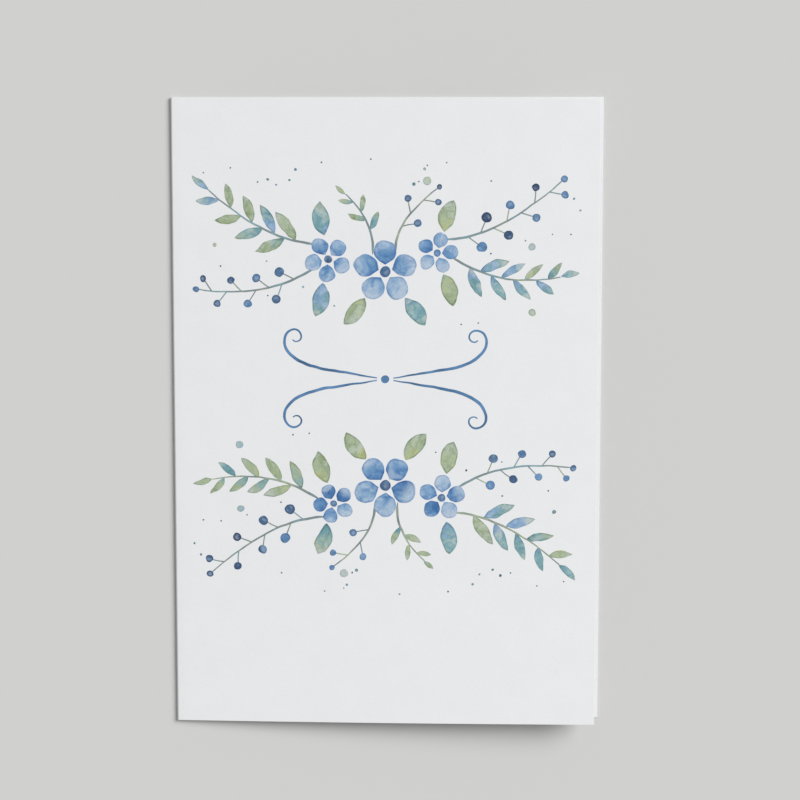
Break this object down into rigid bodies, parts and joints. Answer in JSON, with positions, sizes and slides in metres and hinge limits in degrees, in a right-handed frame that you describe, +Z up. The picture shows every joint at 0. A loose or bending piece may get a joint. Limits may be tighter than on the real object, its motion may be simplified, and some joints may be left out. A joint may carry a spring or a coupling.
{
  "type": "birth announcement card",
  "caption": "Folded card of white stock lying front up, its front panel sprung slightly open and printed with blue blossoms, leaves and berries above and below a pen flourish.",
  "frame": {"origin": "middle of the closed card's outline, on the surface that the back panel lies on", "axes": "+X from the spine to the free edges, +Y along the spine to the card's top edge, +Z up through the front panel"},
  "size_m": [0.115, 0.17, 0.0081],
  "materials": {
    "card_stock": "smooth matte white card stock, uncoated",
    "blossom_ink": "matte cobalt blue print with the look of a watercolour wash",
    "leaf_ink": "matte sage green and slate teal print with the look of a watercolour wash",
    "berry_ink": "matte navy print",
    "line_ink": "matte steel blue line print"
  },
  "bodies": {
    "root": {"folded_card": "card_stock", "blossom_print": "blossom_ink", "leaf_print": "leaf_ink", "berry_print": "berry_ink", "line_print": "line_ink"}
  },
  "joints": []
}
